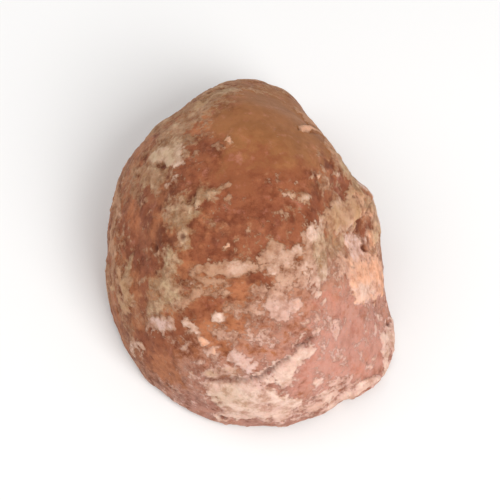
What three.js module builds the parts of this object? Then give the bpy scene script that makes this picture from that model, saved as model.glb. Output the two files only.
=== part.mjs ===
// Jaggery lump: one hand-sized mound of raw cane sugar, cast in a bowl, turned out and patted while
// still warm. Its rounded side is up, and its open casting face, a shallow dish with a flat border, is
// down. Millimetres, +Z up. The origin is the middle of the base on the surface it rests on, +Y runs
// along the lump towards its narrow end, and +X is to the right of that.

import * as THREE from "three";
import { ImprovedNoise } from "three/addons/math/ImprovedNoise.js";
import { mergeVertices } from "three/addons/utils/BufferGeometryUtils.js";

// ---- Driving dimensions ----

const WIDTH = 70;
const LENGTH = 88;
const HEIGHT = 47;

// How squarely the mound bulges: 2 is an ellipse, more is boxier.
const FLANK_POWER = 2.25;
const CROWN_POWER = 2.05;

// The rim, where the mound turns under to the border that it stands on.
const RIM_LIFT = 1.3;
const RIM_INSET = 1.6;
const BORDER_SHARE = 0.84; // the dish starts about here, as a share of the way out to the rim
const BORDER_WANDER = { wavelength: 17, reach: 0.07 };
const DISH_DEPTH = 3.2;

const MESH_ROWS = 38; // rows of facets from crown to rim, and again from rim to the dish's middle
const BORDER_EDGE = 1 - 1 / MESH_ROWS; // the border's edge is the first row in from the rim
const EDGE_OF_NET = 1e-6;

const CORE = new THREE.Vector3(0, 0, HEIGHT * 0.3); // relief runs towards and away from this point

// ---- Forms laid on the plain mound ----

// Swells and cuts of the outline seen from above: where, how wide either side, and how far out.
const OUTLINE_SWELLS = [
  { name: "near right corner", azimuth: -38, spread: 18, out: 8 },
  { name: "right side", azimuth: -6, spread: 14, out: -1 },
  { name: "far right cut", azimuth: 40, spread: 28, out: -3.4 },
  { name: "far left cut", azimuth: 121, spread: 20, out: -3 },
  { name: "left belly", azimuth: 176, spread: 30, out: -0.8 },
  { name: "near tip", azimuth: -72, spread: 16, out: 2.4 },
  { name: "far tip", azimuth: 82, spread: 14, out: 0.8 },
];

// Faces patted flat: the way each one looks, how far it lies from the core, and how soft its edge is.
const PATTED_FACES = [
  { name: "smooth far face", azimuth: 52, elevation: 44, away: 31, edge: 3, flatness: 0.72 },
  { name: "right flank", azimuth: -12, elevation: 32, away: 26.5, edge: 4, flatness: 0.8 },
  { name: "far right flank", azimuth: 32, elevation: 14, away: 29.6, edge: 2, flatness: 0.9 },
  { name: "near flank", azimuth: -97, elevation: 40, away: 34.6, edge: 5, flatness: 0.55 },
  { name: "left shoulder", azimuth: 168, elevation: 46, away: 30.6, edge: 4, flatness: 0.6 },
  { name: "near left flank", azimuth: 222, elevation: 26, away: 34.6, edge: 4, flatness: 0.65 },
  { name: "crown", azimuth: -60, elevation: 84, away: 31.8, edge: 4, flatness: 0.35 },
];

// A corner broken off the rim, out of the way of the rounded side's best view.
const BROKEN_CORNER = { azimuth: 146, elevation: -24, away: 37.4, edge: 0.7, flatness: 1 };

// Round hollows and bosses: where they sit (azimuth, and share of the way from crown to rim), their
// radius, and how deep they go. A negative depth stands proud.
const HOLLOWS = [
  { name: "thumb hollow", azimuth: 205, share: 0.52, radius: 12, depth: 1.3 },
  { name: "far nick", azimuth: 56, share: 0.52, radius: 5, depth: 1.1 },
  { name: "right boss", azimuth: -28, share: 0.6, radius: 8, depth: -1 },
  { name: "near crust patch", azimuth: -86, share: 0.78, radius: 12, depth: -0.9 },
  { name: "left boss", azimuth: 176, share: 0.74, radius: 9, depth: -0.8 },
  { name: "back pit", azimuth: 118, share: 0.62, radius: 5, depth: 2.6 },
  { name: "side pit", azimuth: 24, share: 0.86, radius: 4.6, depth: 2 },
  { name: "back hollow", azimuth: 88, share: 0.78, radius: 10, depth: 1.4 },
];

// Clefts: shallow grooves that run between two places on the mound, each given as an azimuth and a
// share, to a reach either side. A negative depth makes a ridge.
const CLEFTS = [
  { name: "near cleft", from: [-95, 0.69], to: [-68, 0.56], reach: 3.6, depth: 1.1 },
  { name: "right crest", from: [-26, 0.32], to: [20, 0.8], reach: 6.5, depth: -1 },
  { name: "right cleft", from: [-22, 0.46], to: [-10, 0.66], reach: 4.2, depth: 1 },
  { name: "far cleft", from: [128, 0.4], to: [98, 0.5], reach: 3.6, depth: 0.9 },
];

// The skirt that spilled over the bowl's edge: a thin lip at the rim under a shallow groove.
const SKIRT = { azimuth: -44, spread: 36, lip: 0.6, lipHeight: 2.8, groove: 0.6, grooveHeight: 7.6 };

// Unevenness of the skin: each octave's wavelength and how far it moves the surface either way.
const SKIN_OCTAVES = [
  { wavelength: 31, reach: 1.15 },
  { wavelength: 13, reach: 0.62 },
  { wavelength: 6.2, reach: 0.34 },
];
const DISH_OCTAVES = [
  { wavelength: 15, reach: 0.9 },
  { wavelength: 6.5, reach: 0.5 },
];

// ---- Helpers ----

const noise = new ImprovedNoise();
const radians = THREE.MathUtils.degToRad;

/** The unit vector that looks along an azimuth and elevation, in degrees. */
function heading(azimuth, elevation) {
  const flat = Math.cos(radians(elevation));
  return new THREE.Vector3(
    flat * Math.cos(radians(azimuth)),
    flat * Math.sin(radians(azimuth)),
    Math.sin(radians(elevation)),
  );
}

/** 1 at no distance, falling smoothly to 0 at the reach and beyond. */
function fade(distance, reach) {
  return 1 - THREE.MathUtils.smoothstep(Math.abs(distance), 0, reach);
}

/** The smaller turn between two azimuths, in degrees. */
function turnBetween(a, b) {
  return Math.abs(THREE.MathUtils.euclideanModulo(a - b + 180, 360) - 180);
}

/** The sum of several octaves of bumps at a point, each up to its reach either way. */
function unevenness(point, octaves) {
  return octaves.reduce((sum, { wavelength, reach }) => {
    const { x, y, z } = point.clone().divideScalar(wavelength);
    return sum + reach * noise.noise(x, y, z);
  }, 0);
}

// ---- The plain mound ----

/** How far the rim lies from the middle at an azimuth: an ellipse with its swells and cuts. */
function rimRadius(azimuth) {
  const along = Math.cos(radians(azimuth)) / (WIDTH / 2);
  const across = Math.sin(radians(azimuth)) / (LENGTH / 2);
  const swells = OUTLINE_SWELLS.map(
    (swell) => swell.out * Math.exp(-((turnBetween(azimuth, swell.azimuth) / swell.spread) ** 2)),
  );
  return 1 / Math.hypot(along, across) + swells.reduce((sum, out) => sum + out, 0);
}

/** The mound's section: x is the share of the way out to the rim, and y is the height. */
class MoundSection extends THREE.Curve {
  getPoint(t, target = new THREE.Vector2()) {
    const angle = (t * Math.PI) / 2;
    return target.set(
      Math.sin(angle) ** (2 / FLANK_POWER),
      RIM_LIFT + (HEIGHT - RIM_LIFT) * Math.cos(angle) ** (2 / CROWN_POWER),
    );
  }
}

/** The section in millimetres at the mean radius, so that equal steps along it are equal on the skin. */
class SkinSection extends MoundSection {
  getPoint(t, target = new THREE.Vector2()) {
    super.getPoint(t, target);
    target.x *= (WIDTH + LENGTH) / 4;
    return target;
  }
}

const skinSection = new SkinSection();
skinSection.arcLengthDivisions = 400;

/** A point of the rounded side: share runs from 0 at the crown to 1 at the rim. */
function moundPoint(azimuth, share) {
  const section = skinSection.getPointAt(share);
  const out = (section.x / ((WIDTH + LENGTH) / 4)) * rimRadius(azimuth);
  return new THREE.Vector3(
    out * Math.cos(radians(azimuth)),
    out * Math.sin(radians(azimuth)),
    section.y,
  );
}

// ---- Relief ----

/** Presses a point back to a patted face. */
function press(point, face) {
  const way = heading(face.azimuth, face.elevation);
  const over = point.clone().sub(CORE).dot(way) - face.away;
  if (over <= -face.edge) return;
  const rounded = over >= face.edge ? over : (over + face.edge) ** 2 / (4 * face.edge);
  point.addScaledVector(way, -rounded * face.flatness);
}

/** Moves a point towards the core by a depth, or away from it where the depth is negative. */
function sink(point, depth) {
  const inward = CORE.clone().sub(point).normalize();
  point.addScaledVector(inward, depth);
}

/** How far a point lies from the straight run between two others. */
function distanceToRun(point, start, end) {
  const nearest = new THREE.Line3(start, end).closestPointToPoint(point, true, new THREE.Vector3());
  return nearest.distanceTo(point);
}

/** Everything that shapes the rounded side, from the largest form to the smallest. */
function shapeSkin(point, azimuth) {
  const plain = point.clone();
  PATTED_FACES.forEach((face) => press(point, face));
  let depth = 0;
  for (const hollow of HOLLOWS) {
    const middle = moundPoint(hollow.azimuth, hollow.share);
    depth += hollow.depth * fade(plain.distanceTo(middle), hollow.radius);
  }
  for (const cleft of CLEFTS) {
    const away = distanceToRun(plain, moundPoint(...cleft.from), moundPoint(...cleft.to));
    depth += cleft.depth * fade(away, cleft.reach);
  }
  depth += unevenness(plain, SKIN_OCTAVES);
  sink(point, depth);
  const skirt = fade(turnBetween(azimuth, SKIRT.azimuth), SKIRT.spread);
  const lip = SKIRT.lip * fade(plain.z - SKIRT.lipHeight, SKIRT.lipHeight);
  const groove = SKIRT.groove * fade(plain.z - SKIRT.grooveHeight, SKIRT.grooveHeight / 2);
  point.addScaledVector(heading(azimuth, 0), skirt * (lip - groove));
}

/** A point of the rounded side with its relief: share runs from 0 at the crown to 1 at the rim. */
function skinPoint(azimuth, share) {
  const point = moundPoint(azimuth, share);
  shapeSkin(point, azimuth);
  return point;
}

/** A point of the underside: share runs from 0 in the middle of the dish to 1 at the border's edge. */
function undersidePoint(azimuth, share) {
  const rim = skinPoint(azimuth, 1);
  const out = share * (Math.hypot(rim.x, rim.y) - RIM_INSET);
  const point = heading(azimuth, 0).multiplyScalar(out);
  const inside = BORDER_SHARE - share + unevenness(point, [BORDER_WANDER]);
  const dish = DISH_DEPTH * Math.sqrt(THREE.MathUtils.smoothstep(inside, 0, BORDER_SHARE));
  const crags = unevenness(point, DISH_OCTAVES) * THREE.MathUtils.smoothstep(inside, 0, 0.2);
  point.z = Math.max(0, dish + crags);
  return point;
}

// ---- The solid ----

/** Wraps an eight-sided net round the lump, with one row of its corners exactly on the rim. */
function makeLumpGeometry() {
  const net = new THREE.OctahedronGeometry(1, MESH_ROWS - 1);
  net.deleteAttribute("normal");
  net.deleteAttribute("uv");
  const geometry = mergeVertices(net, 1e-5);
  const corners = geometry.getAttribute("position");
  const corner = new THREE.Vector3();
  for (let i = 0; i < corners.count; i++) {
    corner.fromBufferAttribute(corners, i);
    corner.divideScalar(corner.manhattanLength());
    const share = 1 - Math.abs(corner.z);
    const quarter = share < EDGE_OF_NET ? 0 : Math.abs(corner.y) / share;
    const azimuth = 90 * (corner.x < 0 ? 2 - quarter : quarter) * (corner.y < 0 ? -1 : 1);
    const onTop = corner.z > -EDGE_OF_NET;
    const point = onTop ? skinPoint(azimuth, share) : undersidePoint(azimuth, share / BORDER_EDGE);
    press(point, BROKEN_CORNER);
    corners.setXYZ(i, point.x, point.y, point.z);
  }
  return geometry;
}

/** Moves a geometry so that it stands on its origin, in the middle of its own box. */
function standOnOrigin(geometry) {
  geometry.computeBoundingBox();
  const { min, max } = geometry.boundingBox;
  geometry.translate(-(min.x + max.x) / 2, -(min.y + max.y) / 2, -min.z);
  return geometry;
}

const jaggery = new THREE.MeshStandardMaterial({
  name: "jaggery",
  color: new THREE.Color(0.69, 0.47, 0.38),
  roughness: 0.72,
  metalness: 0,
});

const geometry = standOnOrigin(makeLumpGeometry());
geometry.computeVertexNormals();

const lump = new THREE.Mesh(geometry, jaggery);
lump.name = "lump";

const jaggeryLump = new THREE.Group();
jaggeryLump.name = "jaggery_lump";
jaggeryLump.add(lump);

export default jaggeryLump;
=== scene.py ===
"""A hand-sized lump of jaggery: raw cane sugar cast in a bowl, with a red brown skin under flaky pale bloom.

The lump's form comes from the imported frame. This script gives it its fine relief (crust plates, pits,
cracks, flaky ridges and a craggy underside), its finish, and a plain pale studio.
"""

import logging
import math
import random
from collections.abc import Iterable
from dataclasses import dataclass, field
from enum import Enum

import bmesh
import bpy
import numpy as np
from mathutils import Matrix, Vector, noise
from mathutils.bvhtree import BVHTree


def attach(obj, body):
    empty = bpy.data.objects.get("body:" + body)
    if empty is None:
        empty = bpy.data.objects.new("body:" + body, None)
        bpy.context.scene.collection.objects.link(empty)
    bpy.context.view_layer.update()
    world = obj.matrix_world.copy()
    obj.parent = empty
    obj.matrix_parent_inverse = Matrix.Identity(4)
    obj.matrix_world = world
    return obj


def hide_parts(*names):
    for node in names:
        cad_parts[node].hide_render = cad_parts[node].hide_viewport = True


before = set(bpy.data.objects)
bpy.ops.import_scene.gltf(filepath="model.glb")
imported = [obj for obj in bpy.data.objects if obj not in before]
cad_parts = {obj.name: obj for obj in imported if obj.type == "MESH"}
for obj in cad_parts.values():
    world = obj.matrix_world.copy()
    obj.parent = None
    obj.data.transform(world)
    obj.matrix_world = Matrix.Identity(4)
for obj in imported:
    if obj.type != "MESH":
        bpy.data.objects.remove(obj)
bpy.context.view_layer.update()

LOG = logging.getLogger("jaggery_lump")
MM = 0.001  # one millimetre, in metres

Edge = tuple[float, float]  # the values at which something starts and is whole
Range = tuple[float, float]  # the least and the most that a draw can give


# ---- Shader expressions ----


@dataclass(frozen=True)
class Colour:
    """A colour as it looks on a screen, each channel from 0 to 255."""

    red: int
    green: int
    blue: int

    @property
    def linear(self) -> tuple[float, float, float, float]:
        """The colour as a shader reads it: linear, from 0 to 1, with an alpha of 1."""
        return (*(self._decode(c / 255) for c in (self.red, self.green, self.blue)), 1.0)

    @staticmethod
    def _decode(value: float) -> float:
        """Undoes the screen's gamma on one channel."""
        return value / 12.92 if value <= 0.04045 else ((value + 0.055) / 1.055) ** 2.4


class Wire:
    """A number that varies over the surface. Its operators add Math nodes."""

    def __init__(self, sheet: "NodeSheet", socket: bpy.types.NodeSocket) -> None:
        """Wraps an output socket of a node on a sheet."""
        self.sheet = sheet
        self.socket = socket

    def __add__(self, other: "Value") -> "Wire":
        """self + other."""
        return self.sheet.math("ADD", self, other)

    def __radd__(self, other: float) -> "Wire":
        """other + self."""
        return self.sheet.math("ADD", other, self)

    def __sub__(self, other: "Value") -> "Wire":
        """self - other."""
        return self.sheet.math("SUBTRACT", self, other)

    def __rsub__(self, other: float) -> "Wire":
        """other - self."""
        return self.sheet.math("SUBTRACT", other, self)

    def __mul__(self, other: "Value") -> "Wire":
        """self * other."""
        return self.sheet.math("MULTIPLY", self, other)

    def __rmul__(self, other: float) -> "Wire":
        """other * self."""
        return self.sheet.math("MULTIPLY", other, self)

    def band(self, low: float, high: float) -> "Wire":
        """Makes a smooth step.

        Args:
            low: The value at which the step is 0. It may be above high.
            high: The value at which the step is 1.

        Returns:
            The step, from 0 to 1.
        """
        if low > high:
            return 1.0 - self.band(high, low)
        settings = {"interpolation_type": "SMOOTHSTEP"}
        inputs = {"Value": self, "From Min": low, "From Max": high}
        node = self.sheet.add("ShaderNodeMapRange", settings, inputs)
        return Wire(self.sheet, node.outputs["Result"])


Value = Wire | float
Paint = Colour | bpy.types.NodeSocket


class NodeSheet:
    """A material's node tree, with short ways to add to it."""

    def __init__(self, name: str) -> None:
        """Starts a material with an empty tree.

        Args:
            name: The material's name.
        """
        self.material = bpy.data.materials.new(name)
        self.material.use_nodes = True
        self.tree = self.material.node_tree
        self.tree.nodes.clear()
        coordinates = self.add("ShaderNodeTexCoord", {}, {})
        millimetres = {"Vector": coordinates.outputs["Object"], "Scale": (1 / MM,) * 3}
        mapping = self.add("ShaderNodeMapping", {"vector_type": "POINT"}, millimetres)
        self.place = mapping.outputs["Vector"]

    def add(self, kind: str, settings: dict, inputs: dict) -> bpy.types.Node:
        """Adds a node.

        Args:
            kind: The node's type.
            settings: The node's own settings, which are set first.
            inputs: The value or link of each socket, by its name or number.

        Returns:
            The new node.
        """
        node = self.tree.nodes.new(kind)
        for name, value in settings.items():
            setattr(node, name, value)
        for key, value in inputs.items():
            link = value.socket if isinstance(value, Wire) else value
            if isinstance(link, bpy.types.NodeSocket):
                self.tree.links.new(link, node.inputs[key])
            else:
                node.inputs[key].default_value = link
        return node

    def math(self, operation: str, *values: Value) -> Wire:
        """Adds a Math node on up to three values."""
        node = self.add("ShaderNodeMath", {"operation": operation}, dict(enumerate(values)))
        return Wire(self, node.outputs[0])

    def field(self, name: str) -> Wire:
        """Reads a number that the mesh stores at each vertex."""
        node = self.add("ShaderNodeAttribute", {"attribute_name": name}, {})
        return Wire(self, node.outputs["Fac"])

    def cloud(self, wavelength: float, detail: float, roughness: float, shift: float = 0) -> Wire:
        """Makes soft noise about 0.5.

        Args:
            wavelength: The size of its largest blotches.
            detail: How many finer octaves it has.
            roughness: How strong the finer octaves are.
            shift: Moves the pattern along, so that two clouds differ.

        Returns:
            The noise.
        """
        moved = self.add("ShaderNodeVectorMath", {"operation": "ADD"}, {0: self.place, 1: (shift,) * 3})
        inputs = {"Vector": moved.outputs[0], "Scale": 1 / wavelength}
        inputs |= {"Detail": detail, "Roughness": roughness}
        return Wire(self, self.add("ShaderNodeTexNoise", {}, inputs).outputs[0])

    def blend(self, share: Value, under: Paint, over: Paint, mode: str = "MIX") -> bpy.types.NodeSocket:
        """Lays one colour over another.

        Args:
            share: How much of the upper colour shows, from 0 to 1.
            under: The lower colour.
            over: The upper colour.
            mode: How they mix, as the Mix node names it.

        Returns:
            The mixed colour's socket.
        """
        under, over = (c.linear if isinstance(c, Colour) else c for c in (under, over))
        # A Mix node lists its number, vector and colour sockets in turn: 6 and 7 are the colours.
        inputs = {0: share, 6: under, 7: over}
        node = self.add("ShaderNodeMix", {"data_type": "RGBA", "blend_type": mode}, inputs)
        return node.outputs[2]

    def surface(self, constants: dict, inputs: dict) -> bpy.types.Material:
        """Ends the sheet with a shader.

        Args:
            constants: The shader's sockets that are the same all over.
            inputs: The shader's sockets that vary over the surface.

        Returns:
            The finished material.
        """
        shader = self.add("ShaderNodeBsdfPrincipled", {}, {**constants, **inputs})
        self.add("ShaderNodeOutputMaterial", {}, {"Surface": shader.outputs["BSDF"]})
        return self.material


# ---- Where things lie on the lump ----


@dataclass(frozen=True)
class Viewpoint:
    """A way to look at the lump, in degrees.

    Azimuth 0 looks along +Y and 90 along -X. Elevation is how far the eye is above the horizon.
    """

    azimuth: float
    elevation: float

    @property
    def back(self) -> Vector:
        """From the lump towards the eye."""
        turn, tilt = math.radians(self.azimuth), math.radians(self.elevation)
        return Vector((math.sin(turn) * math.cos(tilt), -math.cos(turn) * math.cos(tilt), math.sin(tilt)))

    @property
    def right(self) -> Vector:
        """To the eye's right."""
        turn = math.radians(self.azimuth)
        return Vector((math.cos(turn), math.sin(turn), 0))

    @property
    def up(self) -> Vector:
        """Up, as the eye sees it."""
        return self.back.cross(self.right)

    def middle(self, points: np.ndarray) -> Vector:
        """Finds the middle of the box that some points fill, as the eye sees it.

        Args:
            points: The points, one in each row.

        Returns:
            The middle, in the points' own unit.
        """
        middle = Vector()
        for axis in (self.right, self.up, self.back):
            reach = points @ np.array(axis)
            middle += axis * float(reach.min() + reach.max()) / 2
        return middle


BEST_SIDE = Viewpoint(azimuth=0, elevation=65)


class Tone(Enum):
    """What a mark on the skin is made of. The value is the name of the field that it fills."""

    CREAM = "cream"  # thick pale crust
    PEACH = "peach"  # crust with an orange cast
    SAGE = "sage"  # thin grey green bloom
    LILAC = "lilac"  # fine crust with a cold cast
    TAN = "tan"  # yellowish crust along a crest
    WORN = "worn"  # thin crust, worn and broken
    AMBER = "amber"  # bare skin, clear and orange
    RUDDY = "ruddy"  # bare skin, dark and red
    # Rose is partly painted warm light where it lies on the near right of the best side.
    ROSE = "rose"  # bare skin, smooth and pink
    OLIVE = "olive"  # bare skin, smooth and olive brown
    # The shaded hollow is a sunk spot, painted dark red as the shade that falls in it.
    SHADED_HOLLOW = "hollow"  # sunk, dark and red

    @property
    def is_crust(self) -> bool:
        """True for the tones that stand on the skin as crust."""
        return self in (Tone.CREAM, Tone.PEACH, Tone.SAGE, Tone.LILAC, Tone.TAN, Tone.WORN)

    @property
    def is_bare(self) -> bool:
        """True for the tones that keep the skin clear of scattered bloom."""
        return self in (Tone.AMBER, Tone.RUDDY, Tone.OLIVE, Tone.SHADED_HOLLOW)


@dataclass(frozen=True)
class Mark:
    """One blotch on the skin, as seen from a viewpoint.

    across and up are measured from the middle of the lump's outline, and half_length and half_width along
    and across the blotch. tilt turns its length anticlockwise from the eye's right, in degrees. strength is
    how fully it takes its tone, from 0 to 1. Above 1 its tone stays full, and its crust lies thicker and
    breaks up less.
    """

    tone: Tone
    across: float
    up: float
    half_length: float
    half_width: float
    tilt: float = 0
    strength: float = 1


@dataclass(frozen=True)
class Seam:
    """A thin line through places seen from a viewpoint, each given as across and up.

    It is a groove of a depth, painted dark as shade, or a ridge where the depth is below 0. The skin on its
    right side is lifted, and falls back to the rest within its reach.
    """

    route: tuple[tuple[float, float], ...]
    half_width: float
    depth: float
    lift: float = 0
    reach: float = 3


@dataclass(frozen=True)
class PixelView:
    """A 500 by 500 view of the lump's best side, in which places were chosen.

    The lump's middle is nearer to the eye than its rim, so a pixel there spans a little less of it.
    """

    middle_column: float = 256  # the middle of the lump's outline
    middle_row: float = 250
    span: float = 0.479  # the millimetres that a pixel spans at the rim
    bulge: float = 0.05  # the share by which it spans less at the middle
    bulge_reach: float = 90  # the pixels from the middle to where that ends
    decimals: int = 1  # what is chosen is kept to a tenth of a millimetre

    def length(self, pixels: float) -> float:
        """Turns a length in pixels into millimetres."""
        return round(pixels * self.span, self.decimals)

    def place(self, column: float, row: float) -> tuple[float, float]:
        """Finds where a pixel lies on the lump.

        Args:
            column: The pixels from the view's left edge.
            row: The pixels from its top edge.

        Returns:
            How far the place is across and up from the middle of the outline, in millimetres.
        """
        right, down = column - self.middle_column, row - self.middle_row
        rim_share = min(1, (right ** 2 + down ** 2) / self.bulge_reach ** 2)
        span = self.span * (1 - self.bulge * (1 - rim_share))
        return round(right * span, self.decimals), round(-down * span, self.decimals)

    def route(self, *pixels: tuple[float, float]) -> tuple[tuple[float, float], ...]:
        """Turns a seam's pixels, each a column and a row, into its places."""
        return tuple(self.place(column, row) for column, row in pixels)

    def mark(self, tone: Tone, column: float, row: float, half_length: float, half_width: float,
             tilt: float = 0, strength: float = 1) -> Mark:
        """Makes a mark from its pixels.

        Args:
            tone: What it is made of.
            column: The pixels from the view's left edge to its middle.
            row: The pixels from the view's top edge to its middle.
            half_length: Half its length, in pixels.
            half_width: Half its width, in pixels.
            tilt: How far its length is turned anticlockwise from the eye's right, in degrees.
            strength: How fully it takes its tone.

        Returns:
            The mark, in millimetres.
        """
        across, up = self.place(column, row)
        return Mark(tone, across, up, self.length(half_length), self.length(half_width), tilt, strength)


BEST_VIEW = PixelView()


@dataclass(frozen=True)
class Ripple:
    """Smooth noise over the skin.

    It goes about as far as its height to either side of 0. wavelength is the size of its largest bumps, and
    each further octave is half as large and half as strong. shift moves the pattern along, so that two
    ripples differ.
    """

    height: float
    wavelength: float
    shift: float
    octaves: int = 1


def band(value: np.ndarray, low: float, high: float) -> np.ndarray:
    """Goes smoothly from 0 at low to 1 at high; low may be above high."""
    share = np.clip((value - low) / (high - low), 0, 1)
    return share * share * (3 - 2 * share)


class Skin:
    """The lump's vertices, with what is drawn and pressed into them."""

    bays = ((8, 2.0), (3, 1.5), (1.3, 0.8))  # how long and how deep the bays of a drawn outline are
    bay_shifts = (31, 57, 83)  # one noise for each axis
    bays_from = 2.0  # the half width from which on a mark has its bays in full
    frays = ((1.7, 0.45), (4.5, 0.4))  # how much finer than the mark its frayed edge is, and how deep
    frayed_within = 2.5  # the spread up to which a mark is frayed
    free_depth = 1.4  # how deep a mark reaches before it fades, in its own half sizes
    fade_depth = 1.5  # how much deeper it ends
    octave_shift = 17  # keeps the octaves of a noise apart
    seed_scatter = 7.31  # keeps the draws of neighbouring cells apart
    clear_of_lump = 1000  # a distance that leads out of the lump from anywhere in it
    far_off = 9.0  # a distance at which nothing of a seam shows, in its own reaches

    def __init__(self, mesh: bmesh.types.BMesh) -> None:
        """Reads the vertices of a mesh.

        Args:
            mesh: The mesh, in metres.
        """
        self.points = np.array([v.co / MM for v in mesh.verts])
        self.normals = np.array([v.normal for v in mesh.verts])
        self.tree = BVHTree.FromBMesh(mesh)
        self.astray = self._led_astray()
        self.fields: dict[str, np.ndarray] = {}
        self.pit_depth = np.zeros(len(self.points))

    def _led_astray(self) -> np.ndarray:
        """Moves every point about by smooth noise, so that what is drawn by it gets an uneven outline.

        Returns:
            The moved points.
        """
        moved = self.points.copy()
        for length, depth in self.bays:
            moved += depth * np.stack([self.noise(length, shift) for shift in self.bay_shifts], axis=1)
        return moved

    def noise(self, wavelength: float, shift: float, octaves: int = 1) -> np.ndarray:
        """Makes smooth noise between about -1 and 1.

        Args:
            wavelength: The size of its largest bumps.
            shift: Moves the pattern along, so that two noises differ.
            octaves: How many octaves, each half as large and half as strong.

        Returns:
            A number for each vertex.
        """
        total = np.zeros(len(self.points))
        for octave in range(octaves):
            scaled = self.points * 2**octave / wavelength + shift + self.octave_shift * octave
            total += np.array([noise.noise(p) for p in scaled.tolist()]) / 2**octave
        return total

    def rippled(self, ripples: Iterable[Ripple]) -> np.ndarray:
        """Adds up some ripples, as a number for each vertex."""
        return sum(r.height * self.noise(r.wavelength, r.shift, r.octaves) for r in ripples)

    def cells(self, size: float, shift: float) -> tuple[np.ndarray, np.ndarray]:
        """Divides the skin into irregular cells.

        Args:
            size: The cells' size.
            shift: Moves the pattern along.

        Returns:
            How far each vertex lies from the middle of its cell, and a random number from 0 to 1 that is the
            same all over a cell.
        """
        scaled = self.points / size + shift
        found = [noise.voronoi(p) for p in scaled.tolist()]
        nearest = np.array([distances[0] for distances, _ in found]) * size
        draws = np.array([noise.cell(seeds[0] * self.seed_scatter) for _, seeds in found])
        return nearest, draws

    def drop(self, eye: Viewpoint, across: float, up: float) -> tuple[Vector, Vector]:
        """Finds the place on the skin that the eye sees at a distance from the middle of the outline.

        Args:
            eye: Where it is seen from.
            across: How far to the right.
            up: How far up.

        Returns:
            The place, and the skin's normal there.
        """
        start = eye.middle(self.points) + eye.right * across + eye.up * up
        outside = start + eye.back * self.clear_of_lump
        place, normal, _, _ = self.tree.ray_cast(outside * MM, -eye.back)
        if place is None:
            place, normal, _, _ = self.tree.find_nearest(start * MM)
        return place / MM, normal

    def spread(self, eye: Viewpoint, mark: Mark) -> np.ndarray:
        """Measures how far each vertex lies from the middle of a mark.

        Args:
            eye: Where the mark is seen from.
            mark: The mark.

        Returns:
            A number for each vertex: 0 in the mark's middle, about 1 at its ragged edge and more beyond.
        """
        place, _ = self.drop(eye, mark.across, mark.up)
        bayed = min(mark.half_width / self.bays_from, 1)
        away = self.points + bayed * (self.astray - self.points) - np.array(place)
        turn = math.radians(mark.tilt)
        along = away @ np.array(eye.right * math.cos(turn) + eye.up * math.sin(turn)) / mark.half_length
        aside = away @ np.array(eye.up * math.cos(turn) - eye.right * math.sin(turn)) / mark.half_width
        # On a slope that falls away from the eye, and on the far side, a mark reaches only so far in depth.
        free = self.free_depth * max(mark.half_length, mark.half_width)
        deep = np.maximum(np.abs(away @ np.array(eye.back)) - free, 0) / self.fade_depth
        spread = np.sqrt(along**2 + aside**2 + deep**2)
        near = np.flatnonzero(spread < self.frayed_within)
        own_draw = mark.across + 0.37 * mark.up  # no two marks fray alike
        for fineness, depth in self.frays:
            local = zip((fineness * along[near]).tolist(), (fineness * aside[near]).tolist())
            spread[near] += depth * np.array([noise.noise((a, b, own_draw)) for a, b in local])
        return spread

    def run(self, eye: Viewpoint, seam: Seam) -> np.ndarray:
        """Measures how far each vertex lies from the middle line of a seam.

        Args:
            eye: Where the seam is seen from.
            seam: The seam.

        Returns:
            The distances, above 0 on the seam's left side and below 0 on its right side.
        """
        route = [np.array(self.drop(eye, *place)[0]) for place in seam.route]
        nearest = np.full(len(self.points), self.far_off * seam.reach)
        for start, end in zip(route, route[1:]):
            step = end - start
            share = np.clip((self.points - start) @ step / (step @ step), 0, 1)
            away = self.points - start - share[:, None] * step
            far = np.linalg.norm(away, axis=1) * np.sign(away @ np.array(eye.back.cross(Vector(step))))
            nearest = np.where(np.abs(far) < np.abs(nearest), far, nearest)
        return nearest


# ---- Finishes ----


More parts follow.
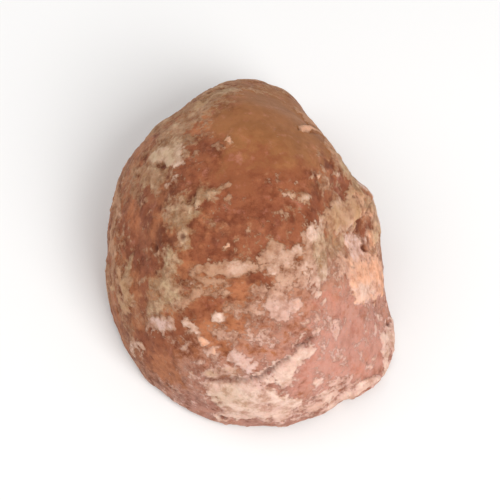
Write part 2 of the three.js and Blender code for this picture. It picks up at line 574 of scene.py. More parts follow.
@dataclass(frozen=True)
class JaggeryFinish:
    """Raw cane sugar: a waxy red brown skin, layers of pale bloom, and coarse crystals where it is open."""

    deep_skin: Colour = Colour(121, 66, 41)
    light_skin: Colour = Colour(171, 107, 71)
    olive_skin: Colour = Colour(158, 105, 63)
    # Smooth pink skin, partly painted warm light on the near right.
    rose_skin_and_light: Colour = Colour(204, 138, 120)
    amber_skin: Colour = Colour(185, 117, 79)
    ruddy_skin: Colour = Colour(142, 78, 51)
    # Dark specks on the skin, and the painted shade in the sunk hollows.
    speck_and_shade_skin: Colour = Colour(98, 50, 34)
    dust: Colour = Colour(184, 133, 97)
    # Pink dust, partly painted warm light at the near right.
    pink_dust_and_light: Colour = Colour(197, 144, 129)
    sage_dust: Colour = Colour(177, 142, 104)
    worn_crust: Colour = Colour(182, 137, 108)
    # Pink worn crust, partly painted warm light at the near right.
    pink_crust_and_light: Colour = Colour(221, 178, 164)
    crust: Colour = Colour(218, 178, 152)
    cream: Colour = Colour(236, 205, 189)
    peach: Colour = Colour(244, 182, 148)
    sage: Colour = Colour(197, 168, 133)
    tan: Colour = Colour(191, 149, 112)
    lilac: Colour = Colour(230, 197, 188)
    stain: Colour = Colour(206, 186, 172)
    # Painted shade in the pits and grooves.
    pit_shade: Colour = Colour(100, 53, 36)
    open_hollow: Colour = Colour(98, 54, 32)
    open_clump: Colour = Colour(146, 96, 60)
    open_peak: Colour = Colour(184, 142, 98)
    border: Colour = Colour(178, 134, 80)

    # The amount of bloom, or of a tone, at which each layer starts and is whole.
    crust_edge: Edge = (0.36, 0.7)
    sage_edge: Edge = (0.36, 1.15)
    thick_edge: Edge = (0.5, 1.1)
    dust_edge: Edge = (0.05, 0.8)
    skin_tone_edge: Edge = (0.1, 0.9)
    hollow_edge: Edge = (0.2, 0.8)
    clot_edge: Edge = (0.15, 1.2)
    open_clump_edge: Edge = (0.15, 0.6)
    open_peak_edge: Edge = (0.55, 1.05)
    border_edge: Edge = (-0.1, 0.16)

    # How far noise frays those edges.
    crust_fray: float = 2.6
    dust_fray: float = 2.4
    skin_tone_fray: float = 2.4
    clot_fray: float = 3.4
    open_clump_fray: float = 2.0
    open_peak_fray: float = 2.6
    border_fray: float = 0.8

    # The values of the noise itself at which each pattern starts and is whole.
    mottle_edge: Edge = (0.38, 0.62)
    veil_edge: Edge = (0.36, 0.62)
    blot_edge: Edge = (0.42, 0.68)
    speck_edge: Edge = (0.55, 0.68)

    # How fully each layer covers what lies under it.
    dust_cover: float = 0.66
    crust_cover: float = 0.74
    veil_cover: float = 0.22  # more, where the crust is dense
    stain_cover: float = 0.9
    stain_kept_off: float = 0.7  # less, where the skin is smooth
    # How fully the painted shade covers the pits and grooves:
    pit_shade_cover: float = 0.85
    skin_tone_cover: float = 0.72
    speck_cover: float = 0.28
    # How fully the painted shade covers the sunk hollows:
    hollow_shade_cover: float = 0.8
    border_cover: float = 0.9
    clot_bloom: float = 0.6  # how much the bloom's amount counts towards thick crust
    worn_loss: float = 0.75  # how much of the thick crust is gone where it is worn
    thin_tone: float = 0.2  # how much of its tone thin crust has

    # How rough the surface is, and how far light soaks into it.
    roughness: float = 0.58
    crust_roughness: float = 0.24  # more, on crust
    grain_roughness: float = 0.12  # how far the grain varies it
    open_roughness: float = 0.1  # more, where the lump is open
    light_depth: float = 1.5

    # How high the bump stands.
    crust_height: float = 0.1
    thick_height: float = 0.06
    clod_height: float = 0.11
    grain_height: float = 0.09
    crust_grain: float = 0.06  # more, on crust
    open_grain: float = 0.12  # more, where the lump is open
    smooth_grain: float = 0.06  # less, where the skin is smooth

    def material(self) -> bpy.types.Material:
        """Makes the finish's material.

        Returns:
            The material, which reads the fields that the lump's mesh stores.
        """
        sheet = NodeSheet("jaggery")
        bloom = sheet.field("bloom") + self.crust_fray * (sheet.cloud(1.0, detail=5, roughness=0.66) - 0.5)
        crisp = bloom.band(*self.crust_edge)
        crust = crisp - sheet.field(Tone.SAGE.value) * (crisp - bloom.band(*self.sage_edge))
        grain = sheet.cloud(0.4, detail=3, roughness=0.7)
        roughness = self.roughness + self.crust_roughness * crust + self.grain_roughness * (grain - 0.5)
        constants = {
            "Specular IOR Level": 0.16,
            "Subsurface Weight": 0.12, "Subsurface Scale": self.light_depth * MM,
            "Subsurface Radius": (1.0, 0.45, 0.25),
            "Sheen Weight": 0.12, "Sheen Roughness": 0.35, "Sheen Tint": self.tan.linear,
        }
        varying = {
            "Base Color": self._colour(sheet, bloom, crust),
            "Roughness": roughness + self.open_roughness * sheet.field("open"),
            "Normal": self._normal(sheet, bloom, crust, grain),
        }
        return sheet.surface(constants, varying)

    def _colour(self, sheet: NodeSheet, bloom: Wire, crust: Wire) -> bpy.types.NodeSocket:
        """Lays the layers over one another: skin, dust, crust, stains, painted shade in pits and grooves,
        and the open face.

        Args:
            sheet: The sheet to add to.
            bloom: How much bloom there is, with frayed edges.
            crust: How much crust there is, from 0 to 1.

        Returns:
            The colour's socket.
        """
        soft = bloom + self.dust_fray * (sheet.cloud(2.6, detail=6, roughness=0.72, shift=9) - 0.5)
        # Pinker towards the near right: the dust's tint, and painted warm light.
        dust = sheet.blend(sheet.field("pink"), self.dust, self.pink_dust_and_light)
        dust = sheet.blend(sheet.field(Tone.SAGE.value), dust, self.sage_dust)
        dusted = self.dust_cover * (soft + sheet.field("haze")).band(*self.dust_edge)
        hazy = sheet.blend(dusted, self._skin(sheet), dust)
        veil = sheet.cloud(2.2, detail=5, roughness=0.66, shift=29).band(*self.veil_edge)
        dense = self.crust_cover + self.veil_cover * veil
        crusted = sheet.blend(crust * dense, hazy, self._crust(sheet))
        blot = sheet.cloud(2.6, detail=5, roughness=0.68, shift=19).band(*self.blot_edge)
        stains = (self.stain_cover - self.stain_kept_off * sheet.field("smooth")) * blot
        stained = sheet.blend(stains, crusted, self.stain, mode="MULTIPLY")
        # Painted shade in the pits and grooves.
        pit_shaded = sheet.blend(self.pit_shade_cover * sheet.field("pit"), stained, self.pit_shade)
        return sheet.blend(sheet.field("open"), pit_shaded, self._open_face(sheet))

    def _normal(self, sheet: NodeSheet, bloom: Wire, crust: Wire, grain: Wire) -> bpy.types.NodeSocket:
        """Bumps the surface with the crust's steps, soft clods and grain.

        Args:
            sheet: The sheet to add to.
            bloom: How much bloom there is, with frayed edges.
            crust: How much crust there is, from 0 to 1.
            grain: Fine noise, from 0 to 1.

        Returns:
            The normal's socket.
        """
        coarse = self.grain_height + self.crust_grain * crust
        coarse += self.open_grain * sheet.field("open") - self.smooth_grain * sheet.field("smooth")
        steps = self.crust_height * crust + self.thick_height * bloom.band(*self.thick_edge)
        clods = self.clod_height * sheet.cloud(1.4, detail=4, roughness=0.6, shift=3)
        height = (steps + coarse * grain + clods) * MM
        bump = sheet.add("ShaderNodeBump", {}, {"Height": height, "Distance": 1.0, "Strength": 1.0})
        return bump.outputs["Normal"]

    def _skin(self, sheet: NodeSheet) -> bpy.types.NodeSocket:
        """Colours the bare skin: mottled red brown, with olive, rose, amber and ruddy stretches, dark
        specks, and painted shade in its hollows.

        Args:
            sheet: The sheet to add to.

        Returns:
            The colour's socket.
        """
        mottle = sheet.cloud(6.0, detail=6, roughness=0.7, shift=5)
        skin = sheet.blend(mottle.band(*self.mottle_edge), self.deep_skin, self.light_skin)
        tones = {Tone.OLIVE: self.olive_skin, Tone.RUDDY: self.ruddy_skin, Tone.ROSE: self.rose_skin_and_light,
                 Tone.AMBER: self.amber_skin}
        for tone, colour in tones.items():
            # Rose has a pattern of its own, and the others share one.
            wander = sheet.cloud(2.6, detail=5, roughness=0.65, shift=4 if tone is Tone.ROSE else 5) - 0.5
            share = (sheet.field(tone.value) + self.skin_tone_fray * wander).band(*self.skin_tone_edge)
            skin = sheet.blend(self.skin_tone_cover * share, skin, colour)
        speck = sheet.cloud(1.2, detail=4, roughness=0.6, shift=31).band(*self.speck_edge)
        specks = self.speck_cover * speck * (1.0 - sheet.field("smooth"))
        skin = sheet.blend(specks, skin, self.speck_and_shade_skin)
        # Painted shade in the sunk hollows, and painted shadow under ledges.
        hollows = self.hollow_shade_cover * sheet.field(Tone.SHADED_HOLLOW.value).band(*self.hollow_edge)
        return sheet.blend(hollows, skin, self.speck_and_shade_skin)

    def _crust(self, sheet: NodeSheet) -> bpy.types.NodeSocket:
        """Colours the crust: worn where it is thin, then cream, peach, tan, lilac or grey green.

        Args:
            sheet: The sheet to add to.

        Returns:
            The colour's socket.
        """
        clot = sheet.cloud(3.4, detail=6, roughness=0.68, shift=23) - 0.5
        thick = (self.clot_bloom * sheet.field("bloom") + self.clot_fray * clot).band(*self.clot_edge)
        thick *= 1.0 - self.worn_loss * sheet.field(Tone.WORN.value)
        # Pinker towards the near right: the crust's tint, and painted warm light.
        worn = sheet.blend(sheet.field("pink"), self.worn_crust, self.pink_crust_and_light)
        crust = sheet.blend(thick, worn, self.crust)
        tones = {Tone.PEACH: self.peach, Tone.CREAM: self.cream, Tone.SAGE: self.sage, Tone.TAN: self.tan,
                 Tone.LILAC: self.lilac}
        for tone, colour in tones.items():
            share = sheet.field(tone.value) * (self.thin_tone + (1 - self.thin_tone) * thick)
            crust = sheet.blend(share, crust, colour)
        return crust

    def _open_face(self, sheet: NodeSheet) -> bpy.types.NodeSocket:
        """Colours the open casting face: dark in its hollows, tan on its clumps, mustard round its border.

        Args:
            sheet: The sheet to add to.

        Returns:
            The colour's socket.
        """
        high = sheet.field("high")
        fleck = sheet.cloud(1.6, detail=6, roughness=0.72, shift=41) - 0.5
        clumps = (high + self.open_clump_fray * fleck).band(*self.open_clump_edge)
        peaks = (high + self.open_peak_fray * fleck).band(*self.open_peak_edge)
        face = sheet.blend(clumps, self.open_hollow, self.open_clump)
        face = sheet.blend(peaks, face, self.open_peak)
        stretch = sheet.cloud(7.0, detail=6, roughness=0.72, shift=47) - 0.5
        scuffs = (stretch + self.border_fray * fleck).band(*self.border_edge)
        border = sheet.blend(scuffs, self.open_clump, self.border)
        return sheet.blend(self.border_cover * sheet.field("border"), face, border)


@dataclass(frozen=True)
class PaperFinish:
    """A plain pale studio floor."""

    shade: Colour = Colour(240, 239, 238)

    def material(self) -> bpy.types.Material:
        """Makes the finish's material."""
        sheet = NodeSheet("pale_paper")
        return sheet.surface({"Base Color": self.shade.linear, "Roughness": 0.9}, {})


# ---- The lump ----


@dataclass
class JaggeryLump:
    """The lump itself: the frame's own form, refined, with its relief and finish."""

    node: str = "lump"
    slot: str = "jaggery"
    cuts: int = 3  # new vertices along each edge of the frame's facets
    smoothing: int = 10  # passes that round off the creases between those facets
    merge_gap: float = 0.001  # corners nearer than this are one
    finish: JaggeryFinish = field(default_factory=JaggeryFinish)

    # The blotches on the lump's best side, from its far end to its near end.
    best_side_marks: tuple[Mark, ...] = (
        # The far, smooth side.
        BEST_VIEW.mark(Tone.OLIVE, 268, 187, 30, 26, 10),
        BEST_VIEW.mark(Tone.SAGE, 229, 180, 26, 7, 38, 0.65),
        BEST_VIEW.mark(Tone.SAGE, 262, 168, 18, 4, 0, 0.45),
        BEST_VIEW.mark(Tone.AMBER, 228, 187, 9, 7, 30, 0.9),
        BEST_VIEW.mark(Tone.RUDDY, 231, 207, 11, 7, 60, 0.8),
        BEST_VIEW.mark(Tone.PEACH, 286.5, 188.2, 5, 1.6, 6, 1.5),
        BEST_VIEW.mark(Tone.SHADED_HOLLOW, 296, 207, 2.4, 1.6, 10, 0.5),
        BEST_VIEW.mark(Tone.RUDDY, 303.5, 215.5, 7, 6, 40),
        BEST_VIEW.mark(Tone.CREAM, 300, 211, 3, 1.2, 0, 0.9),
        BEST_VIEW.mark(Tone.PEACH, 303, 202, 3.4, 1.6, 20, 1.1),
        BEST_VIEW.mark(Tone.PEACH, 245.2, 195.2, 1.5, 2.4, 0, 1.05),
        BEST_VIEW.mark(Tone.SAGE, 216, 201.5, 11, 5.5, 14, 0.8),
        BEST_VIEW.mark(Tone.CREAM, 214.6, 203.4, 8.4, 3.4, 10, 1.6),
        # A painted shadow under the ledge of the bloom above.
        BEST_VIEW.mark(Tone.SHADED_HOLLOW, 211, 208, 3, 0.9, -4, 0.6),
        BEST_VIEW.mark(Tone.CREAM, 222, 206.5, 3, 1.6, 20, 0.9),
        BEST_VIEW.mark(Tone.SAGE, 238, 172.5, 11, 2.6, 32, 1.05),
        BEST_VIEW.mark(Tone.TAN, 231, 177.5, 6, 1.8, 38, 0.9),
        # Two pale bands along the left limb: worn crust, partly a painted rim highlight.
        BEST_VIEW.mark(Tone.WORN, 187, 228, 2.2, 15, 8, 0.9),
        BEST_VIEW.mark(Tone.WORN, 185.8, 255, 2, 13, -4, 0.9),
        # The left side.
        BEST_VIEW.mark(Tone.SAGE, 203, 213, 12, 8, 40, 0.5),
        BEST_VIEW.mark(Tone.SAGE, 209.5, 213, 8, 4.5, 20, 0.75),
        BEST_VIEW.mark(Tone.SHADED_HOLLOW, 226.5, 225, 3.4, 3, 20, 0.55),
        BEST_VIEW.mark(Tone.SAGE, 223, 233.5, 7.4, 7.2, -10, 0.9),
        BEST_VIEW.mark(Tone.SAGE, 226, 244.5, 3, 5, 0, 0.9),
        BEST_VIEW.mark(Tone.SHADED_HOLLOW, 217.2, 244, 2.2, 2.8, 0, 0.5),
        BEST_VIEW.mark(Tone.SAGE, 234.5, 222.5, 7, 4.4, 20, 0.8),
        BEST_VIEW.mark(Tone.SAGE, 216.6, 257.2, 7.5, 4.4, 62, 1.2),
        BEST_VIEW.mark(Tone.SAGE, 213, 264.5, 5.5, 4, 50, 0.95),
        BEST_VIEW.mark(Tone.SAGE, 216.5, 272, 5.5, 4.2, 0, 1.1),
        BEST_VIEW.mark(Tone.SAGE, 209.5, 277, 5.5, 3.4, 60, 0.9),
        BEST_VIEW.mark(Tone.LILAC, 210.5, 287.3, 6.4, 4.8, 20, 1.25),
        BEST_VIEW.mark(Tone.SAGE, 194.5, 263, 12, 2.6, 80, 0.8),
        BEST_VIEW.mark(Tone.RUDDY, 205.2, 262.5, 2.8, 8, -8, 0.9),
        BEST_VIEW.mark(Tone.RUDDY, 201.5, 274, 2.6, 5, 0, 0.9),
        BEST_VIEW.mark(Tone.TAN, 191.8, 268.5, 9.5, 3.8, 104, 1.2),
        BEST_VIEW.mark(Tone.CREAM, 198.5, 299, 3, 4.5, -20, 0.8),
        BEST_VIEW.mark(Tone.RUDDY, 201, 238, 8, 14, 0, 0.9),
        BEST_VIEW.mark(Tone.AMBER, 199, 233, 4, 7, 20, 0.8),
        # The middle.
        BEST_VIEW.mark(Tone.WORN, 236.5, 258.6, 8.5, 2.4, 4, 1.1),
        BEST_VIEW.mark(Tone.WORN, 249.2, 257, 7.5, 2.6, 6, 1.4),
        BEST_VIEW.mark(Tone.CREAM, 250.8, 256.8, 5.6, 1.8, 4, 1.1),
        BEST_VIEW.mark(Tone.WORN, 241, 270.4, 7, 2, 0, 0.85),
        BEST_VIEW.mark(Tone.AMBER, 251, 267.5, 7, 3.6, -12, 0.95),
        BEST_VIEW.mark(Tone.WORN, 227.3, 273.4, 6.5, 2, 42, 1.2),
        BEST_VIEW.mark(Tone.WORN, 237.5, 264.6, 7.5, 2.6, 2, 1.05),
        BEST_VIEW.mark(Tone.RUDDY, 237, 276, 6, 3, 0, 0.8),
        BEST_VIEW.mark(Tone.WORN, 252, 277.5, 6, 3.4, 0, 0.75),
        BEST_VIEW.mark(Tone.WORN, 259.5, 270.5, 5, 2.6, -10, 0.7),
        BEST_VIEW.mark(Tone.CREAM, 241.6, 283.4, 3.4, 2.6, 0, 1.4),
        BEST_VIEW.mark(Tone.CREAM, 226.6, 287.6, 4.6, 2, -40, 1.3),
        BEST_VIEW.mark(Tone.PEACH, 232.5, 294.5, 3.2, 1.6, -35, 1.2),
        BEST_VIEW.mark(Tone.AMBER, 238, 292, 9, 5, 0, 0.8),
        BEST_VIEW.mark(Tone.AMBER, 247, 290.5, 5, 4),
        BEST_VIEW.mark(Tone.WORN, 244, 292, 7, 3.6, -10, 0.55),
        BEST_VIEW.mark(Tone.RUDDY, 256, 221, 21, 15, 5),
        BEST_VIEW.mark(Tone.RUDDY, 276, 212, 12, 6, 10, 0.8),
        BEST_VIEW.mark(Tone.RUDDY, 255, 203, 14, 5, 5, 0.6),
        BEST_VIEW.mark(Tone.RUDDY, 284, 233, 14, 6.5, 25, 0.95),
        BEST_VIEW.mark(Tone.RUDDY, 260, 246, 15, 6, 0, 0.9),
        BEST_VIEW.mark(Tone.RUDDY, 262.5, 263.5, 4.5, 3.6),
        BEST_VIEW.mark(Tone.RUDDY, 238, 250, 10, 8, 0, 0.8),
        BEST_VIEW.mark(Tone.RUDDY, 232, 283, 12, 5, 10, 0.6),
        BEST_VIEW.mark(Tone.TAN, 279, 223, 7, 2, -6, 0.6),
        BEST_VIEW.mark(Tone.CREAM, 275, 223, 2, 1.2, 0, 0.9),
        BEST_VIEW.mark(Tone.CREAM, 283, 223.6, 2.8, 1.1, 5),
        BEST_VIEW.mark(Tone.WORN, 270.8, 252.5, 7.4, 6, -20, 1.05),
        BEST_VIEW.mark(Tone.WORN, 279, 263, 3.4, 8, 0, 0.85),
        BEST_VIEW.mark(Tone.CREAM, 280, 256.5, 4.4, 3.2, 0, 0.95),
        BEST_VIEW.mark(Tone.CREAM, 273, 252.5, 7, 5, -20, 0.8),
        BEST_VIEW.mark(Tone.CREAM, 268, 259.8, 2.6, 2.2, 0, 1.1),
        BEST_VIEW.mark(Tone.CREAM, 272.6, 250.6, 3.4, 2.4, -30, 0.9),
        BEST_VIEW.mark(Tone.CREAM, 288, 241.5, 5, 5.5, 20, 1.2),
        BEST_VIEW.mark(Tone.RUDDY, 279, 242.5, 6, 4, 10, 0.9),
        BEST_VIEW.mark(Tone.SAGE, 297, 247, 7, 5, 0, 0.7),
        BEST_VIEW.mark(Tone.SAGE, 290.2, 252, 3.6, 8, -4, 0.95),
        BEST_VIEW.mark(Tone.CREAM, 289, 261.5, 4, 7, 0, 1.1),
        BEST_VIEW.mark(Tone.WORN, 288.5, 254, 5, 11, 0, 0.8),
        BEST_VIEW.mark(Tone.LILAC, 309.5, 247, 4.6, 6, 0, 1.25),
        BEST_VIEW.mark(Tone.TAN, 303, 230.5, 13, 6, 32, 1.25),
        BEST_VIEW.mark(Tone.CREAM, 300, 226, 3.4, 2, 30, 0.8),
        BEST_VIEW.mark(Tone.CREAM, 303, 237.6, 3.6, 2, 40, 0.95),
        # A painted highlight along the crest's lower edge.
        BEST_VIEW.mark(Tone.PEACH, 309, 233, 7, 1.3, 42, 1.1),
        BEST_VIEW.mark(Tone.SAGE, 322, 226, 7, 3, -20, 0.9),
        BEST_VIEW.mark(Tone.PEACH, 314, 225, 4.5, 3, -30, 0.9),
        BEST_VIEW.mark(Tone.RUDDY, 317, 238.6, 4, 2.6, 52),
        # Painted shadow under the crest.
        BEST_VIEW.mark(Tone.SHADED_HOLLOW, 311.5, 237.5, 3.6, 1.2, 55, 0.5),
        BEST_VIEW.mark(Tone.SHADED_HOLLOW, 314.6, 248.4, 1.8, 1.4),
        BEST_VIEW.mark(Tone.PEACH, 322, 241, 7, 3, 50, 1.2),
        BEST_VIEW.mark(Tone.PEACH, 319, 229.5, 4.5, 2.6, 20, 0.9),
        BEST_VIEW.mark(Tone.TAN, 308, 238.5, 3, 1.6, 40, 0.7),
        BEST_VIEW.mark(Tone.PEACH, 313.2, 262, 11.5, 12.3, 0, 1.5),
        BEST_VIEW.mark(Tone.PEACH, 312.5, 252.6, 8, 3.2, 0, 1.25),
        BEST_VIEW.mark(Tone.PEACH, 320.8, 264, 4, 10, 0, 1.35),
        BEST_VIEW.mark(Tone.PEACH, 313.5, 231, 4, 1.8, 20, 1.05),
        BEST_VIEW.mark(Tone.CREAM, 314, 270.5, 8.5, 3, -4, 0.8),
        BEST_VIEW.mark(Tone.WORN, 273.5, 275.5, 8, 7.6, 0, 0.9),
        BEST_VIEW.mark(Tone.LILAC, 273.5, 277.6, 6.6, 4.6, 0, 0.95),
        BEST_VIEW.mark(Tone.WORN, 262, 287, 10, 8, 0, 0.5),
        BEST_VIEW.mark(Tone.WORN, 299, 259, 6, 6, 0, 0.55),
        # The near side.
        BEST_VIEW.mark(Tone.RUDDY, 212, 296, 9, 12, -42),
        BEST_VIEW.mark(Tone.AMBER, 215, 309.5, 9, 7, -40),
        BEST_VIEW.mark(Tone.LILAC, 249.3, 300.6, 4.8, 3.4, -40, 1.35),
        BEST_VIEW.mark(Tone.LILAC, 256, 306.4, 3.2, 4.2, 20, 1.4),
        BEST_VIEW.mark(Tone.WORN, 246, 307, 7, 4, 0, 0.6),
        BEST_VIEW.mark(Tone.WORN, 261, 302, 5, 3, 0, 0.7),
        BEST_VIEW.mark(Tone.CREAM, 231.5, 305, 2.4, 1.6, 0, 0.85),
        BEST_VIEW.mark(Tone.SAGE, 242, 310.5, 8, 2.6, 0, 0.5),
        BEST_VIEW.mark(Tone.CREAM, 256.5, 324.4, 18, 8.6, -4, 1.4),
        BEST_VIEW.mark(Tone.CREAM, 243, 318, 8.5, 3.4, -10, 1.15),
        BEST_VIEW.mark(Tone.CREAM, 252, 332.4, 7, 2.6, -8, 1.5),
        BEST_VIEW.mark(Tone.CREAM, 276.5, 324, 5.6, 4, 0, 1.55),
        BEST_VIEW.mark(Tone.CREAM, 262, 314.5, 6.6, 3.8, 25, 1.15),
        BEST_VIEW.mark(Tone.SAGE, 246, 320.5, 8, 4.5, 0, 0.4),
        BEST_VIEW.mark(Tone.CREAM, 273.5, 307, 7.5, 5, 42, 1.3),
        BEST_VIEW.mark(Tone.CREAM, 283.2, 298.6, 6, 3, 28, 1.2),
        BEST_VIEW.mark(Tone.CREAM, 289.5, 314.4, 2, 1.8),
        BEST_VIEW.mark(Tone.CREAM, 294, 322, 3.4, 3, 0, 0.95),
        BEST_VIEW.mark(Tone.WORN, 296, 290, 11, 8, 30, 0.5),
        BEST_VIEW.mark(Tone.WORN, 312, 304, 9, 6, 40, 0.45),
        BEST_VIEW.mark(Tone.WORN, 303, 318.5, 7.5, 3.4, 30, 0.85),
        BEST_VIEW.mark(Tone.WORN, 284, 330, 16, 6, 15, 0.6),
        # Smooth pink skin on the near right, partly painted warm light.
        BEST_VIEW.mark(Tone.ROSE, 303, 301, 22, 17, 20),
        BEST_VIEW.mark(Tone.ROSE, 284, 304, 9, 6, 20, 0.9),
        BEST_VIEW.mark(Tone.ROSE, 301, 277, 17, 10, 0, 0.65),
        BEST_VIEW.mark(Tone.CREAM, 325.5, 299, 3.6, 12, 0, 1.3),
        BEST_VIEW.mark(Tone.CREAM, 313, 317, 8, 1.8, 33, 0.9),
        BEST_VIEW.mark(Tone.CREAM, 301, 329.6, 11, 2, 24, 0.9),
    )

    # The cracks, grooves and flaky ridges on that side. The grooves are painted dark as shade.
    seams: tuple[Seam, ...] = (
        Seam(BEST_VIEW.route((256.5, 312.8), (262.3, 311.2), (264, 309.2), (268, 308), (270.5, 305.8),
                             (274.5, 302.6)), 0.6, 0.9, lift=0.5, reach=6),
        Seam(BEST_VIEW.route((278.6, 297.3), (281, 296.8), (283.4, 295.2), (287, 293.2)), 0.5, 0.75,
             lift=0.35, reach=4),
        # A broad shallow groove, painted dark as a band of shadow.
        Seam(BEST_VIEW.route((235, 313.6), (245, 314), (255, 313.2)), 1.1, 0.5),
        Seam(((17.2, -39.3), (20.4, -38.8), (24.4, -37.8), (26.8, -36.9)), 0.9, -0.6),
        Seam(((23.4, -35.8), (26.3, -33.3), (29.2, -31.3), (32.4, -29.7)), 0.9, -0.6),
        Seam(((29.2, 11.7), (27.5, 8.7), (24.9, 6.8), (23.2, 5.3)), 0.6, 0.6, lift=0.6, reach=6),
        Seam(((25.9, 6.3), (27.2, 2.2), (28, 0.5)), 0.7, 0.5, lift=0.3, reach=3),
        Seam(((11.5, 28.6), (13.8, 27.9), (16.2, 28)), 0.5, 0.4),
    )

    # Broken ridges along the near right rim.
    rim_ridges: tuple[float, ...] = (2.0, 3.5, 5.2, 7.4)  # their heights above the base
    rim_ridge_middle: float = -52  # the azimuth of their middle, anticlockwise from +X
    rim_ridge_half_run: float = 26  # how many degrees they run either side of it
    rim_ridge_section: Edge = (0.6, 0.1)  # the distances from a crest at which it starts and is whole
    rim_ridge_wander: tuple[Ripple, ...] = (Ripple(1.2, 7, 15), Ripple(0.5, 2.2, 16))
    rim_ridge_pieces: tuple[Ripple, ...] = (Ripple(1, 3.6, 27),)
    rim_ridge_ends: Edge = (-0.3, 0.05)  # the height of those ripples at which a piece starts and is whole
    rim_ridge_height: float = 0.35
    ridge_bloom: float = 0.5  # what a ridge adds to the bloom

    # Marks strewn by seeded draws over the sides that don't show from the best side.
    seed: int = 7
    hidden_sides: tuple[Viewpoint, ...] = (
        Viewpoint(90, 20), Viewpoint(135, 25), Viewpoint(180, 30), Viewpoint(225, 25), Viewpoint(270, 20),
    )
    hidden_slope: float = 0.3  # they lie where the skin faces the best side less than this, as a cosine
    marks_a_side: int = 16
    side_tones: tuple[Tone, ...] = (
        Tone.CREAM, Tone.SAGE, Tone.PEACH, Tone.LILAC, Tone.WORN, Tone.RUDDY, Tone.ROSE, Tone.AMBER,
    )
    side_across: Range = (-32, 32)
    side_up: Range = (-18, 18)
    side_half_lengths: Range = (1.5, 6.5)
    side_slimness: Range = (0.35, 0.9)  # a mark's half width as a share of its half length
    side_strengths: Range = (0.75, 1.25)

    # Small flecks strewn over the left and middle of the best side.
    flecks: int = 38
    fleck_tones: tuple[Tone, ...] = (Tone.CREAM, Tone.WORN, Tone.PEACH)
    fleck_across: Range = (-27, 17)
    fleck_up: Range = (-24, 20)
    fleck_half_lengths: Range = (0.5, 1.3)
    fleck_slimness: float = 0.5
    fleck_tilts: Range = (20, 60)
    fleck_strengths: Range = (0.6, 1.0)

    # The spreads at which a mark's tone, its crust and the dust round it start and are whole.
    tone_edge: Edge = (1.6, 0.7)
    crust_edge: Edge = (1.6, 0.6)
    halo_edge: Edge = (2.5, 0.8)

    # The amount of bloom, on which the crust and the dust depend.
    scattered: float = 0.2  # what there is anywhere
    scatter: tuple[Ripple, ...] = (Ripple(0.25, 12, 8, octaves=2),)
    raggedness: tuple[Ripple, ...] = (Ripple(0.5, 5, 3), Ripple(0.42, 2.3, 7), Ripple(0.32, 1.15, 11))
    halo_bloom: float = 0.15
    bare_loss: float = 0.3
    smooth_loss: float = 0.25
    rim_bloom: float = 0.3  # on a pit's rim
    hollow_loss: float = 1.2

    # The dust is pink at the near right, where its haze is thicker too: partly the dust's own tint, partly
    # painted warm light falling on that side.
    pink_slant: float = 0.6  # a step to the right counts as this much of a step down
    pink_edge: Edge = (4, -30)  # how far up from the middle of the base it starts to be pink, and is pink
    pink_wander: tuple[Ripple, ...] = (Ripple(4, 14, 24),)
    pink_haze_and_light: float = 0.55
    halo_haze: float = 0.15
    sage_haze: float = 0.3
    bare_haze_loss: float = 0.3
    haze_wander: tuple[Ripple, ...] = (Ripple(0.25, 9, 14, octaves=2),)

    # Where the skin is smooth.
    olive_edge: Edge = (0.25, 0.9)
    rose_smoothness: float = 0.55
    smooth_calm: float = 0.75  # how much flatter it is there

    # Small round pits, one in some of the cells, painted dark as shade.
    pit_cell: float = 5.2
    pit_above: float = 0.7  # a cell whose draw is above this has a pit
    pit_radii: Range = (0.5, 1.2)
    pit_side: Edge = (1.25, 0.35)  # a pit's section, in its own radii
    pit_rim: Edge = (2.2, 1.4)
    pit_steepness: float = 0.75  # its depth as a share of its radius

    # Relief.
    bumps: tuple[Ripple, ...] = (Ripple(0.28, 6.5, 1, octaves=2), Ripple(0.15, 2.1, 6, octaves=2))
    # How high each layer of crust stands, and the bloom at which it starts and is whole.
    crust_layers: tuple[tuple[float, Edge], ...] = ((0.2, (0.43, 0.58)), (0.15, (0.8, 0.95)))
    hollow_depth: float = 0.6
    seam_wander: tuple[Ripple, ...] = (Ripple(0.45, 2.2, 12), Ripple(0.3, 0.9, 13))
    seam_core: float = 0.1  # the distance from its middle line at which a seam is deepest
    # The painted shade in the grooves:
    seam_darkest: float = 0.75  # how dark a groove gets at most

    # The open casting face underneath: a craggy dish inside a flat border.
    open_normal: Edge = (-0.45, -0.85)  # the slopes at which it starts and is whole
    open_height: Edge = (6, 4)  # and the heights
    dish_edge: Edge = (0.1, 1.2)  # the heights at which the dish starts and is whole
    clump_cell: float = 3.4
    clump_height: float = 1.3
    clump_least: float = 0.6  # the height of the lowest clump, against that
    clump_range: float = 0.8  # how much higher the highest is
    clump_level: float = 0.45  # how far from its middle a clump meets the face, in cells
    crags: tuple[Ripple, ...] = (Ripple(0.7, 6, 33, octaves=2), Ripple(0.35, 1.9, 34, octaves=2))
    crag_height: float = 0.9
    scuff_depth: float = 0.4  # how deep the border is scuffed
    scuff_below: float = -0.3  # where the crags lie lower than this

    def build(self) -> bpy.types.Object:
        """Makes the lump's mesh, dresses it and seats it on its body.

        Returns:
            The finished piece.
        """
        mesh = self._refined_copy()
        skin = Skin(mesh)
        self._paint(skin)
        self._move(mesh, skin)
        piece = self._object(mesh, skin)
        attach(piece, "root")
        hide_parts(self.node)
        return piece

